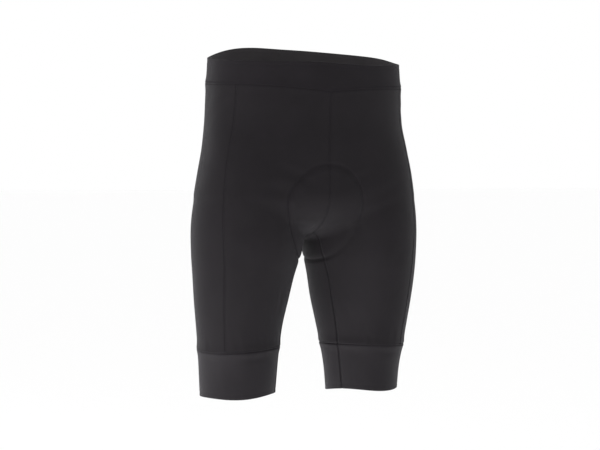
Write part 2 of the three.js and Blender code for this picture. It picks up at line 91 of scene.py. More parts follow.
# Left leg sections. A positive lean makes the section longer from outer front to inner back.
LEG = Profile(
    [
        # z, centre x, centre y, half width, half depth, lean
        [-520, 101, 16, 54.2, 54.3, -0.02],
        [-493, 101, 15.6, 55.2, 55.2, -0.02],
        [-460, 100.7, 14.8, 57.5, 57.6, 0],
        [-425, 100.3, 13.4, 61.4, 62, 0.08],
        [-390, 99.1, 12.7, 66, 67, 0.13],
        [-354, 97.1, 10.2, 72, 73, 0.14],
        [-319, 95.2, 6.5, 77, 78, 0.125],
        [-284, 92, 3.6, 82.5, 84, 0.085],
        [-240, 89.5, 2, 85, 87, 0.065],
        [-204, 86, 2, 84, 86, 0.08],
        [-165, 82, 3, 79, 82, 0.08],
        [-120, 78, 6, 70, 74, 0.05],
    ],
)

# Where the torso rounds off below, and where the legs fade out above
SEAT_TOP = -195
SEAT_BOTTOM = -254
SEAT_FULLNESS = 26
SEAT_FULL_X = 38
SEAT_FULL_Y = 100
LEG_FADE = -120
LEG_FADE_STEEPNESS = 2

# Mean radii that turn a section's ratio into millimetres, and the widths of the blend
TORSO_RADIUS = 100
LEG_RADIUS = 75
HIP_BLEND = 6
SEAT_BLEND = 34
SEAT_BLEND_START = 35
SEAT_BLEND_SPAN = 60
SEAT_BLEND_TOP = -112
SEAT_BLEND_RISE = 80
CROTCH_BLEND = 26
CROTCH_BLEND_SPAN = 85
CROTCH_ROUNDING = 5

# Waistband edges: heights round the waist, as cosines of 0, 1, 2 and 3 times the angle. The
# top edge also sways, by sines of the same, and dips a little in three places.
WAIST_AXIS_Y = 5
WAIST_EDGE = [5.3, -19.8, 2.7, 1.8]
WAIST_SWAY = [0, 0.8, 0, -1.6]
WAIST_DIPS = [
    # angle, depth, reach
    (-110 * DEGREE, 4.6, 19 * DEGREE),
    (82 * DEGREE, 3.2, 16 * DEGREE),
    (183 * DEGREE, 1.5, 22 * DEGREE),
]
BAND_SEAM = [-33.8, -14.5, 2.8, -1.5]
BAND_DIP = 3.5
BAND_DIP_SPAN = 13 * DEGREE

# Crotch junction, where the centre seam and the inseams meet
JUNCTION_Y = -30
RISE_CENTRE_Y = 5
RISE_CENTRE_Z = -120

# Seam angles round a section's centre, from the front towards the outside
SIDE_SEAM_TORSO = 49 * DEGREE
SIDE_SEAM_JUNCTION = 45 * DEGREE
SIDE_SEAM_LEG = 37.5 * DEGREE
SIDE_SEAM_EASING = 1.6
INSEAM_LEG = -61.5 * DEGREE
INSEAM_EASING = 1.1

# Section centres above the junction, and the heights of the sections at the outer side
CENTRE_X_WAIST = 60
CENTRE_X_JUNCTION = 85
CENTRE_Y_TORSO = 5
OUTER_Z_WAIST = -35
OUTER_Z_JUNCTION = -275
OUTER_REACH = 90

# Powers that ease the sections of the torso, the centres of the leg's and their outer lift
TORSO_EASING = 4
LEG_EASING = 3
LIFT_EASING = 2

# Cuff seam and hem: height at the leg's axis, rise towards the back and the outside, and a
# wave that is lowest at the outer front. The hem also ripples, and its join leans forward.
CUFF_SEAM = {"z": -423.4, "back": -0.01, "out": -0.018, "sine": -1.1, "ripple": 0}
HEM = {"z": -492.7, "back": -0.038, "out": -0.007, "sine": -1.5, "ripple": 1.3}
RIPPLES = 3
RIPPLE_PEAK = 68 * DEGREE
INSEAM_HEM = -56.6 * DEGREE

# Swelling of the cloth beside a cross seam. A faint seam is a shallow line and a drawn one,
# at the inseams and the cuffs, is a deep groove.
SEAM_SWELL = 1.2
SEAM_SWELL_REACH = 8
FAINT_GROOVE = 0.25
DRAWN_GROOVE = 1.35
GROOVE_REACH = 1.6
INSEAM_ONSET_ROWS = 8

# Shallow line pressed inside the waistband's top edge and inside the hems
EDGE_LINE_DEPTH = 0.25
EDGE_LINE_REACH = 1
BAND_LINE_PLACE = 4.5
HEM_LINE_PLACE = 5

# Depths of the cuff seams' grooves on the front and back panels, which are uneven
CUFF_GROOVES = {"left": {"front": 0.5, "back": 1.2}, "right": {"front": 0.9, "back": 0.3}}
CUFF_GROOVE_BLEND = 18

# Seat pad, by the angle round the rise centre from the front, through the crotch, to the back
PAD_START = 20 * DEGREE
PAD_END = 171 * DEGREE
PAD = Profile(
    [
        # degrees, half width, relief
        [20, 54, 1.8],
        [46, 58, 1.8],
        [66, 50, 1.2],
        [92, 36.5, 0.3],
        [116, 52, 1],
        [138, 68, 1.8],
        [171, 62, 1.8],
    ],
)

# Depth of the sewn groove round the pad, which is drawn in under the crotch and faint elsewhere
PAD_GROOVE = Profile(
    [
        # degrees, left, right
        [20, 1, 1],
        [28, 0.7, 1.3],
        [36, 1.1, 1.9],
        [44, 1.7, 2.2],
        [54, 0.8, 2.3],
        [62, 0.4, 2.3],
        [70, 0.5, 2],
        [76, 1.4, 1.6],
        [84, 2.4, 2],
        [100, 2.2, 2.4],
        [138, 1.7, 2],
        [171, 1.6, 1.6],
    ],
)

# Swelling of the pad's outline at the front of the right thigh
PAD_BULGE = {"degrees": 41, "reach": 11, "width": 7.5}

# The pad's rounded ends, and its raised form and groove seen from outside
PAD_END_POWER = 6
PAD_SLOPE_FLOOR = 0.01
PAD_RELIEF_RAMP = 11
PAD_GROOVE_REACH = 2.6
PAD_GROOVE_BLEND = 20

# The pad itself, inside the panels
PAD_CLEARANCE = 1.9
PAD_EDGE_THICKNESS = 2
PAD_MIDDLE_THICKNESS = 8
PAD_THINNEST = 1.2
PAD_END_MARGIN = 1.2 * DEGREE
PAD_CROWN_RAMP = 30

# Channels pressed into the pad's inner face
PAD_CHANNELS = [
    # place across the half width, depth, half width
    (0, 3.2, 3.4),
    (0.52, 2.6, 2.4),
]
PAD_CHANNEL_FADE = 0.4

# Fineness of the grids
TORSO_ROWS = 150
LEG_ROWS = 100
FRONT_COLUMNS = 105
BACK_COLUMNS = 165
BAND_ROWS = 30
BAND_COLUMNS = 440
CUFF_ROWS = 44
ROLLED_ROWS = 5
PAD_ROWS = 110
PAD_COLUMNS = 70

# Points down each side of the pad's outline, and how near to its ends they begin
PAD_OUTLINE_POINTS = 420
PAD_OUTLINE_START = 0.05

# How much closer the pad's rows stand towards its ends, from 0 for even rows to 1
PAD_ROW_EASING = 0.6

# Points searched round a section, halvings of each search, and how far out it looks
SAMPLES = 360
HALVINGS = 30
REACH = 260

# Length below which a vector has no direction
SHORTEST = 1e-9

# Distances from a seam of the rows and columns that shape its groove
SEAM_STEPS = [0, 0.45, 0.9, 1.4, 2, 2.8, 4, 5.6]


def mix(start, end, share):
    return start + (end - start) * share


def smooth_step(value):
    t = np.clip(value, 0, 1)
    return t * t * (3 - 2 * t)


def bell(distance, reach):
    return np.exp(-((distance / reach) ** 2))


def torso_distance(x, y, z):
    half, front, back, front_power, back_power = TORSO.at(np.maximum(z, SEAT_TOP))
    depth = np.where(y < 0, front, back)
    power = np.where(y < 0, front_power, back_power)
    ratio = ((np.abs(x) / half) ** power + (np.abs(y) / depth) ** power) ** (1 / power)
    fullness = smooth_step(y / SEAT_FULL_Y) * (1 - bell(x, SEAT_FULL_X))
    drop = np.maximum(SEAT_TOP - z, 0) / (SEAT_TOP - SEAT_BOTTOM + SEAT_FULLNESS * fullness)
    return (np.hypot(ratio, drop) - 1) * TORSO_RADIUS


def leg_distance(x, y, z):
    centre_x, centre_y, half, depth, lean = LEG.at(z)
    across = (np.hypot(x, CROTCH_ROUNDING) - centre_x) / half
    along = (y - centre_y) / depth
    ratio = np.sqrt(across**2 + along**2 + 2 * lean * across * along)
    return (ratio - 1) * LEG_RADIUS + np.maximum(z - LEG_FADE, 0) * LEG_FADE_STEEPNESS


def body_distance(point):
    """How far outside the body a point lies, roughly in millimetres."""
    x, y, z = point[..., 0], point[..., 1], point[..., 2]
    torso = torso_distance(x, y, z)
    leg = leg_distance(x, y, z)
    at_back = smooth_step((y - SEAT_BLEND_START) / SEAT_BLEND_SPAN)
    at_back = at_back * smooth_step((SEAT_BLEND_TOP - z) / SEAT_BLEND_RISE)
    blend = HIP_BLEND + (CROTCH_BLEND - HIP_BLEND) * bell(x, CROTCH_BLEND_SPAN) + SEAT_BLEND * at_back
    overlap = np.maximum(blend - np.abs(torso - leg), 0) / blend
    return np.minimum(torso, leg) - overlap**2 * blend / 4


def unit(vectors):
    return vectors / np.maximum(np.linalg.norm(vectors, axis=-1, keepdims=True), SHORTEST)


def outward_normals(points):
    step = 0.05
    slopes = []
    for axis in range(3):
        shift = np.zeros(3)
        shift[axis] = step
        slopes.append(body_distance(points + shift) - body_distance(points - shift))
    return unit(np.stack(slopes, -1))


def edge_between(inside, outside, point_at):
    """The value between an inside and an outside one at which the body ends."""
    within = np.array(inside, float)
    beyond = np.array(outside, float)
    for _ in range(HALVINGS):
        middle = (within + beyond) / 2
        is_inside = body_distance(point_at(middle)) < 0
        within = np.where(is_inside, middle, within)
        beyond = np.where(is_inside, beyond, middle)
    return (within + beyond) / 2


def surface_round(axis, angle, z):
    """The body's surface at each angle and height, looking out from an upright axis."""

    def point_at(radius):
        return np.stack([axis[0] + radius * np.sin(angle), axis[1] - radius * np.cos(angle), z], -1)

    return point_at(edge_between(np.zeros_like(angle), np.full_like(angle, REACH), point_at))


def rise_point(angle):
    """The body's outline in its middle plane, by angle from the front through the crotch."""
    angle = np.asarray(angle, float)

    def point_at(radius):
        y = RISE_CENTRE_Y - radius * np.cos(angle)
        z = RISE_CENTRE_Z - radius * np.sin(angle)
        return np.stack([np.zeros_like(y), y, z], -1)

    return point_at(edge_between(np.zeros_like(angle), np.full_like(angle, REACH), point_at))


def rise_angle(start, end, is_before):
    for _ in range(HALVINGS):
        middle = (start + end) / 2
        if is_before(rise_point(middle)):
            start = middle
        else:
            end = middle
    return (start + end) / 2


def wave_sum(terms, angle, wave):
    return sum(term * wave(k * angle) for k, term in enumerate(terms))


def turn_between(angle, other):
    return np.arctan2(np.sin(angle - other), np.cos(angle - other))


def waist_edge_height(angle):
    dip = sum(depth * bell(turn_between(angle, place), reach) for place, depth, reach in WAIST_DIPS)
    return wave_sum(WAIST_EDGE, angle, np.cos) + wave_sum(WAIST_SWAY, angle, np.sin) - dip


def band_seam_height(angle):
    turned = np.abs(turn_between(angle, 0))
    return wave_sum(BAND_SEAM, angle, np.cos) - BAND_DIP * np.exp(-turned / BAND_DIP_SPAN)


BAND_FRONT_Z = band_seam_height(0.0)
BAND_BACK_Z = band_seam_height(math.pi)
RISE_FRONT = rise_angle(-70 * DEGREE, 0, lambda point: point[2] > BAND_FRONT_Z)
RISE_BACK = rise_angle(180 * DEGREE, 250 * DEGREE, lambda point: point[2] < BAND_BACK_Z)
RISE_JUNCTION = rise_angle(10 * DEGREE, 90 * DEGREE, lambda point: point[1] < JUNCTION_Y)
JUNCTION = rise_point(RISE_JUNCTION)


def chord_slope(first, last):
    return (last[2] - first[2]) / (last[1] - first[1])


JUNCTION_SLOPE = chord_slope(
    rise_point(RISE_JUNCTION - 0.5 * DEGREE), rise_point(RISE_JUNCTION + 0.5 * DEGREE)
)


def outer_share(x):
    return 1 - bell(x, OUTER_REACH)


def torso_level(share):
    """The ends of a torso section on the rise, and the level that it runs at between them."""
    left = 1 - share
    front_span = RISE_JUNCTION - RISE_FRONT
    extra_back_span = RISE_BACK - RISE_JUNCTION - front_span
    first = rise_point(RISE_JUNCTION - front_span * left)
    last = rise_point(RISE_JUNCTION + front_span * left + extra_back_span * left * left)
    slope = chord_slope(first, last) if share < 1 else JUNCTION_SLOPE
    lift = mix(OUTER_Z_WAIST, OUTER_Z_JUNCTION, share) - (first[2] - slope * first[1])
    return first, last, lambda x, y: first[2] + slope * (y - first[1]) + lift * outer_share(x)


WAIST_LEVEL = torso_level(0)[2]


def torso_section(share):
    """A section of one half, from the centre front to the centre back. Share 1 is the junction."""
    first, last, level = torso_level(share)
    centre = (mix(CENTRE_X_WAIST, CENTRE_X_JUNCTION, share), CENTRE_Y_TORSO)

    def height(x, y, angle):
        seam = band_seam_height(np.arctan2(x, WAIST_AXIS_Y - y))
        return level(x, y) + (1 - share) ** TORSO_EASING * (seam - WAIST_LEVEL(x, y))

    def angle_to(point):
        return math.atan2(point[0] - centre[0], centre[1] - point[1])

    return {
        "centre": centre,
        "height": height,
        "start": angle_to(first),
        "side": mix(SIDE_SEAM_TORSO, SIDE_SEAM_JUNCTION, share**TORSO_EASING),
        "end": angle_to(last) + FULL_TURN,
        "first": first,
        "last": last,
    }


def leg_section(share):
    """A section round the left leg, from the inseam to the inseam. Share 1 is the cuff seam."""
    left = 1 - share
    junction_z = JUNCTION[2] + JUNCTION_SLOPE * (CENTRE_Y_TORSO - JUNCTION[1])
    junction_angle = math.atan2(-CENTRE_X_JUNCTION, CENTRE_Y_TORSO - JUNCTION[1])
    lift = OUTER_Z_JUNCTION - (JUNCTION[2] - JUNCTION_SLOPE * JUNCTION[1])
    level = mix(junction_z, CUFF_SEAM["z"], share)
    leg_x, leg_y = LEG.at(np.float64(level))[:2]
    above = left**LEG_EASING
    centre = (mix(leg_x, CENTRE_X_JUNCTION, above), mix(leg_y, CENTRE_Y_TORSO, above))
    slope = mix(CUFF_SEAM["back"], JUNCTION_SLOPE, above)

    def height(x, y, angle):
        return (
            level
            + slope * (y - centre[1])
            + lift * outer_share(x) * left**LIFT_EASING
            + CUFF_SEAM["out"] * share * (x - centre[0])
            + CUFF_SEAM["sine"] * share * np.sin(2 * angle)
        )

    start = mix(INSEAM_LEG, junction_angle, left**INSEAM_EASING)
    return {
        "centre": centre,
        "height": height,
        "start": start,
        "side": mix(SIDE_SEAM_LEG, SIDE_SEAM_JUNCTION, left**SIDE_SEAM_EASING),
        "end": start + FULL_TURN,
    }


def cuff_section(share):
    """A section round the left cuff. Share 0 is the cuff seam and 1 the hem."""
    level, back, out, sine, ripple = (mix(CUFF_SEAM[name], HEM[name], share) for name in CUFF_SEAM)
    centre = tuple(LEG.at(np.float64(level))[:2])

    def height(x, y, angle):
        slope = back * (y - centre[1]) + out * (x - centre[0])
        waves = sine * np.sin(2 * angle) + ripple * np.cos(RIPPLES * (angle - RIPPLE_PEAK))
        return level + slope + waves

    start = mix(INSEAM_LEG, INSEAM_HEM, share)
    return {
        "centre": centre,
        "height": height,
        "start": start,
        "side": SIDE_SEAM_LEG,
        "end": start + FULL_TURN,
    }


def section_points(section, start, end):
    """The body's surface in a section, looking from its centre, never past the middle plane."""
    angle = np.linspace(start, end, SAMPLES)
    across, along = np.sin(angle), -np.cos(angle)
    centre = section["centre"]

    def point_at(radius):
        x = centre[0] + radius * across
        y = centre[1] + radius * along
        return np.stack([x, y, section["height"](x, y, angle)], -1)

    limit = np.full_like(angle, REACH)
    inward = across < 0
    limit[inward] = np.minimum(REACH, -centre[0] / across[inward])
    return point_at(edge_between(np.zeros_like(angle), limit, point_at))


def lengths_along(points):
    """Distances along the cloth from the first point, or of a grid from its first row."""
    steps = np.linalg.norm(np.diff(points, axis=0), axis=-1)
    return np.concatenate([np.zeros_like(steps[:1]), np.cumsum(steps, axis=0)])


def seam_spacing(total, count, at_start=True, at_end=True):
    """Distances along a length, close together beside the seams at its ends."""
    near = np.array(SEAM_STEPS)
    head = near if at_start else near[:1]
    tail = total - (near if at_end else near[:1])[::-1]
    middle = count + 1 - len(head) - len(tail)
    return np.concatenate([head, np.linspace(head[-1], tail[0], middle + 2)[1:-1], tail])


def spread(points, distances):
    lengths = lengths_along(points)
    return np.stack([np.interp(distances, lengths, points[:, k]) for k in range(3)], -1)


def section_row(section, start, end, columns, first=None, last=None):
    points = section_points(section, start, end)
    if first is not None:
        points[0] = first
    if last is not None:
        points[-1] = last
    return spread(points, seam_spacing(lengths_along(points)[-1], columns))


def front_row(section):
    return section_row(
        section, section["start"], section["side"], FRONT_COLUMNS, first=section.get("first")
    )


def back_row(section):
    return section_row(
        section, section["side"], section["end"], BACK_COLUMNS, last=section.get("last")
    )


def panel_sections():
    """Sections from the waistband seam to the cuff seam, close together beside both."""
    down_torso = OUTER_Z_WAIST - OUTER_Z_JUNCTION
    down_leg = OUTER_Z_JUNCTION - CUFF_SEAM["z"]
    torso = seam_spacing(down_torso, TORSO_ROWS, at_end=False) / down_torso
    leg = seam_spacing(down_leg, LEG_ROWS, at_start=False)[1:] / down_leg
    return [torso_section(share) for share in torso] + [leg_section(share) for share in leg]


def pad_place(angle):
    """How far along the pad an angle lies, from 0 at the middle to 1 at either end."""
    return np.abs(mix(-1, 1, (angle - PAD_START) / (PAD_END - PAD_START)))


def pad_width(angle, is_right):
    """Half the pad's width, before its ends close."""
    bulge = PAD_BULGE["width"] * bell(angle / DEGREE - PAD_BULGE["degrees"], PAD_BULGE["reach"])
    return PAD.at(angle / DEGREE)[0] + np.where(is_right, bulge, 0)


def pad_half_width(angle, is_right):
    ends = np.sqrt(np.maximum(1 - pad_place(angle) ** PAD_END_POWER, 0))
    return pad_width(angle, is_right) * ends


def pad_angle(points):
    return np.arctan2(RISE_CENTRE_Z - points[..., 2], RISE_CENTRE_Y - points[..., 1])


def pad_inset(points):
    """About how far inside the pad's outline a point of the surface lies."""
    angle = pad_angle(points)
    middle = rise_point(angle)
    from_middle = np.linalg.norm(points - middle, axis=-1)
    radius = np.hypot(middle[..., 1] - RISE_CENTRE_Y, middle[..., 2] - RISE_CENTRE_Z)
    half_length = radius * (PAD_END - PAD_START) / 2
    width = pad_width(angle, points[..., 0] < 0)
    place = pad_place(angle)
    level = 1 - place**PAD_END_POWER - (from_middle / width) ** 2
    slope_along = PAD_END_POWER * place ** (PAD_END_POWER - 1) / half_length
    slope_across = 2 * from_middle / width**2
    slope = np.maximum(np.hypot(slope_along, slope_across), PAD_SLOPE_FLOOR)
    return level / slope


def pad_form(points):
    """The seat pad seen from outside: a low swelling within a sewn groove."""
    inset = pad_inset(points)
    degrees = pad_angle(points) / DEGREE
    swell = PAD.at(degrees)[1] * smooth_step(inset / PAD_RELIEF_RAMP)
    left, right = PAD_GROOVE.at(degrees)
    groove = mix(right, left, smooth_step(0.5 + points[..., 0] / PAD_GROOVE_BLEND))
    return swell - groove * bell(inset, PAD_GROOVE_REACH)


def seam_swell(distance):
    return SEAM_SWELL * bell(distance, SEAM_SWELL_REACH)


def seam_groove(distance, depth):
    return -depth * bell(distance, GROOVE_REACH)


def cuff_groove_depth(side, part, from_next):
    """Depth of a cuff seam's groove, which evens out towards the next panel."""
    depths = CUFF_GROOVES[side]
    middle = (depths["front"] + depths["back"]) / 2
    return mix(middle, depths[part], smooth_step(from_next / CUFF_GROOVE_BLEND))


def edge_line(distance, place):
    return -EDGE_LINE_DEPTH * bell(distance - place, EDGE_LINE_REACH)


def middle_depths(rows):
    """Depths of a panel's middle seam by row: faint down to the junction, drawn below it."""
    below = (np.arange(rows) - TORSO_ROWS) / INSEAM_ONSET_ROWS
    return mix(FAINT_GROOVE, DRAWN_GROOVE, smooth_step(below))[:, None]


# Creases listed one by one. Zone torso turns about the body's axis and the leg zones about the
# leg's, from the front towards the wearer's left. A positive depth is a trough.
CREASES = [
    # zone, from angle, from z, to angle, to z, width, depth, bow
    ("torso", -14, -186, -43, -158, 7.0, 0.55, 3),
    ("torso", -24, -204, -52, -190, 8.5, 0.70, 4),
    ("torso", 15, -183, 38, -166, 6.5, 0.50, -2),
    ("torso", 27, -207, 55, -183, 8.0, 0.60, -4),
    ("torso", -62, -66, -88, -84, 8.0, 0.40, 3),
    ("torso", 66, -70, 97, -80, 7.0, 0.35, -2),
    ("torso", -118, -92, -152, -108, 10.0, 0.45, 4),
    ("torso", 124, -86, 158, -110, 9.0, 0.50, -4),
    ("torso", 176, -120, 183, -186, 9.0, 0.60, 0),
    ("torso", 150, -206, 128, -188, 8.0, 0.55, 3),
    ("torso", -147, -210, -121, -186, 9.0, 0.60, -4),
    ("leg_right", 33, -330, 38, -374, 5.0, 0.45, 2),
    ("leg_right", 10, -402, 13, -424, 4.5, 0.35, 1),
    ("leg_right", -26, -396, -24, -424, 5.0, 0.40, -1),
    ("leg_right", -64, -404, -66, -424, 4.5, 0.35, 0),
    ("leg_right", 58, -398, 55, -424, 4.5, 0.40, 1),
    ("leg_right", -20, -436, 24, -434, 4.5, 0.45, 0),
    ("leg_right", -30, -272, -12, -306, 11.0, 0.45, 3),
    ("leg_right", 12, -232, 24, -300, 11.0, -0.60, 0),
    ("leg_right", 160, -262, 205, -256, 7.0, 0.90, 4),
    ("leg_right", 150, -282, 196, -278, 9.0, 0.50, -3),
    ("leg_right", 176, -398, 181, -424, 5.0, 0.45, 0),
    ("leg_right", 138, -402, 134, -424, 4.5, 0.35, 1),
    ("leg_right", 214, -396, 218, -424, 5.0, 0.40, 1),
    ("leg_left", -48, -352, -40, -392, 5.5, 0.40, 2),
    ("leg_left", 22, -398, 24, -424, 5.0, 0.40, 0),
    ("leg_left", -12, -406, -10, -424, 4.0, 0.35, 1),
    ("leg_left", 62, -400, 66, -424, 4.5, 0.35, -1),
    ("leg_left", 2, -434, 40, -437, 4.5, 0.40, 0),
    ("leg_left", 20, -270, 4, -308, 10.0, 0.40, -3),
    ("leg_left", 156, -258, 202, -264, 7.5, 0.85, -4),
    ("leg_left", 164, -284, 208, -279, 8.0, 0.45, 2),
    ("leg_left", 172, -402, 170, -424, 4.5, 0.40, 0),
    ("leg_left", 222, -398, 228, -424, 5.0, 0.40, -1),
    ("leg_left", 128, -400, 126, -424, 4.5, 0.35, 1),
]

# Where the upright axis of each zone stands, as x and y
ZONE_AXIS = {"torso": (0, 5), "leg_left": (98, 9), "leg_right": (-98, 9)}

# How a crease fades to its ends, and how many widths it spreads to both sides
CREASE_SAMPLES = 24
CREASE_FADE = 0.8
CREASE_SPAN = 3

# Low ridges beside each crease. The height is a share of its depth, the rest of its width.
CREASE_RIDGE = {"height": 0.45, "place": 1.6, "reach": 0.8}


def crease_path(zone, from_angle, from_z, to_angle, to_z, bow):
    share = np.linspace(0, 1, CREASE_SAMPLES)
    angle = mix(from_angle, to_angle, share) * DEGREE
    z = mix(from_z, to_z, share) + bow * np.sin(math.pi * share)
    return surface_round(ZONE_AXIS[zone], angle, z)


def crease_form(points):
    flat = points.reshape(-1, 3)
    total = np.zeros(len(flat))
    for zone, from_angle, from_z, to_angle, to_z, width, depth, bow in CREASES:
        path = crease_path(zone, from_angle, from_z, to_angle, to_z, bow)
        low = path.min(axis=0) - CREASE_SPAN * width
        high = path.max(axis=0) + CREASE_SPAN * width
        near = np.flatnonzero(np.all((flat > low) & (flat < high), axis=1))
        if not len(near):
            continue
        gaps = np.linalg.norm(flat[near][:, None] - path[None], axis=-1)
        closest = gaps.argmin(axis=1)
        taper = np.sin(math.pi * (closest + 0.5) / CREASE_SAMPLES) ** CREASE_FADE
        distance = gaps.min(axis=1)
        from_ridge = distance - CREASE_RIDGE["place"] * width
        ridge = CREASE_RIDGE["height"] * bell(from_ridge, CREASE_RIDGE["reach"] * width)
        total[near] += depth * taper * (ridge - bell(distance, width))
    return total.reshape(points.shape[:-1])


def grid_distances(grid, is_ring=False):
    """Distances of each point from the ends of its column and of its row, along the cloth."""
    down = lengths_along(grid)
    across = lengths_along(grid.swapaxes(0, 1)).T
    row_length = across[:, -1:]
    if is_ring:
        row_length = row_length + np.linalg.norm(grid[:, :1] - grid[:, -1:], axis=-1)
    return {
        "top": down,
        "bottom": down[-1:] - down,
        "first": across,
        "last": row_length - across,
    }


# The tables of sections describe the wearer's left side, and this side mirrors it
MIRRORED_SIDE = "right"


def mirrored(points, is_mirrored):
    return points * np.array([-1, 1, 1]) if is_mirrored else points


def clear_of_middle(points):
    held = points.copy()
    held[..., 0] = np.maximum(held[..., 0], 0)
    return held


def rolled_edge(outer_row, inner_row, down):
    """Rows that round off the edge between a wall's outer and inner rows."""
    middle = (outer_row + inner_row) / 2
    half = (outer_row - inner_row) / 2
    bulge = np.linalg.norm(half, axis=-1, keepdims=True) * down
    turns = np.linspace(0, math.pi, ROLLED_ROWS + 2)[1:-1]
    return [middle + half * math.cos(turn) + bulge * math.sin(turn) for turn in turns]


def rings_of(outer, inner, rolled_top, rolled_bottom):
    """The rows of a wall, down its outside, round its lower edge, up its inside and over."""
    rows = list(outer)
    if rolled_bottom:
        rows += rolled_edge(outer[-1], inner[-1], unit(outer[-1] - outer[-2]))
    rows += list(inner[::-1])
    if rolled_top:
        rows += rolled_edge(inner[0], outer[0], unit(outer[0] - outer[1]))
    return np.array(rows)


def wall_faces(rows, columns, is_ring):
    spans = columns if is_ring else columns - 1
    row = np.repeat(np.arange(rows), spans)
    column = np.tile(np.arange(spans), rows)
    below = (row + 1) % rows
    beside = (column + 1) % columns
    corners = [(row, column), (below, column), (below, beside), (row, beside)]
    return np.stack([down * columns + across for down, across in corners], 1)


def end_faces(rows_outer, rows, columns):
    """Closes the two sides of an open wall, pairing each outer row with its inner row."""
    faces = []
    for row in range(rows_outer - 1):
        first = np.array([row, rows - 1 - row, rows - 2 - row, row + 1]) * columns
        last = first[[0, 3, 2, 1]] + columns - 1
        faces += [first.tolist(), last.tolist()]
    return faces


def add_object(name, data):
    made = bpy.data.objects.new(name, data)
    bpy.context.scene.collection.objects.link(made)
    return made


def add_uv(mesh, coordinates):
    layer = mesh.uv_layers.new(name="cloth")
    corners = np.zeros(len(mesh.loops), dtype=np.int32)
    mesh.loops.foreach_get("vertex_index", corners)
    layer.data.foreach_set("uv", (coordinates[corners] * MM).astype(np.float32).ravel())


def mesh_object(name, points, faces, materials, coordinates=None, material_of_faces=None):
    mesh = bpy.data.meshes.new(name)
    mesh.from_pydata((points * MM).tolist(), [], faces)
    mesh.polygons.foreach_set("use_smooth", [True] * len(mesh.polygons))
    for material in materials:
        mesh.materials.append(material)
    if material_of_faces is not None:
        mesh.polygons.foreach_set("material_index", material_of_faces)
    if coordinates is not None:
        add_uv(mesh, coordinates)
    mesh.validate()
    return add_object(name, mesh)


def wall_object(
    name, outer, inner, materials, is_ring=False, is_mirrored=False, rolled_top=False, rolled_bottom=False
):
    """A cloth wall with its first material outside and its last one inside."""
    rings = rings_of(outer, inner, rolled_top, rolled_bottom)
    rows, columns = rings.shape[:2]
    faces = wall_faces(rows, columns, is_ring).tolist()
    row_of_face = np.arange(len(faces)) // (len(faces) // rows)
    first_inner = rows - len(inner) - (ROLLED_ROWS if rolled_top else 0)
    is_inside = (row_of_face >= first_inner) & (row_of_face < first_inner + len(inner) - 1)
    if not is_ring:
        faces += end_faces(len(outer), rows, columns)
    material_of_faces = np.zeros(len(faces), dtype=np.int32)
    material_of_faces[: len(is_inside)] = is_inside * (len(materials) - 1)
    if is_mirrored:
        faces = [face[::-1] for face in faces]
    distances = grid_distances(rings)
    coordinates = np.stack([distances["first"], distances["top"]], -1).reshape(-1, 2)
    return mesh_object(name, rings.reshape(-1, 3), faces, materials, coordinates, material_of_faces)


def dressed_wall(base, relief, wall, is_mirrored=False):
    """Outer and inner points of a cloth wall, with its relief and its creases."""
    normals = outward_normals(base)
    form = relief + crease_form(mirrored(base, is_mirrored))
    outer = base + normals * form[..., None]
    inner = base + normals * (np.minimum(form, 0) - wall)[..., None]
    return outer, inner


def panel(part, side, rows, materials):
    """A leg panel and its outer points. Its edges turn in to the seams."""
    is_mirrored = side == MIRRORED_SIDE
    middle_edge, side_edge = ("first", "last") if part == "front" else ("last", "first")
    gaps = grid_distances(rows)
    relief = pad_form(mirrored(rows, is_mirrored))
    relief += seam_swell(gaps["top"]) + seam_swell(gaps["bottom"])
    relief += seam_groove(gaps["top"], FAINT_GROOVE)
    at_cuff = cuff_groove_depth(side, part, np.minimum(gaps["first"], gaps["last"]))
    relief += seam_groove(gaps["bottom"], at_cuff)
    relief += seam_groove(gaps[side_edge], FAINT_GROOVE)
    relief += seam_groove(gaps[middle_edge], middle_depths(len(rows)))
    walls = dressed_wall(clear_of_middle(rows), relief, PANEL_WALL, is_mirrored)
    outer, inner = (mirrored(clear_of_middle(points), is_mirrored) for points in walls)
    made = wall_object(f"{part}_{side}_knit", outer, inner, materials, is_mirrored=is_mirrored)
    return made, outer


def waistband(materials):
    """The waistband and its outer points."""
    angle = np.linspace(0, FULL_TURN, BAND_COLUMNS, endpoint=False) + math.pi
    top, seam = waist_edge_height(angle), band_seam_height(angle)
    depth = float(np.mean(top - seam))
    shares = seam_spacing(depth, BAND_ROWS) / depth
    axis = (0, WAIST_AXIS_Y)
    base = np.array([surface_round(axis, angle, mix(top, seam, share)) for share in shares])
    gaps = grid_distances(base)
    join = np.linalg.norm(base - base[:, :1], axis=-1)
    relief = seam_swell(gaps["bottom"]) + seam_groove(gaps["bottom"], FAINT_GROOVE)
    relief += seam_groove(join, FAINT_GROOVE)
    relief += edge_line(gaps["top"], BAND_LINE_PLACE)
    outer, inner = dressed_wall(base, relief, BAND_WALL)
    made = wall_object("waistband_knit", outer, inner, materials, is_ring=True, rolled_top=True)
    return made, outer


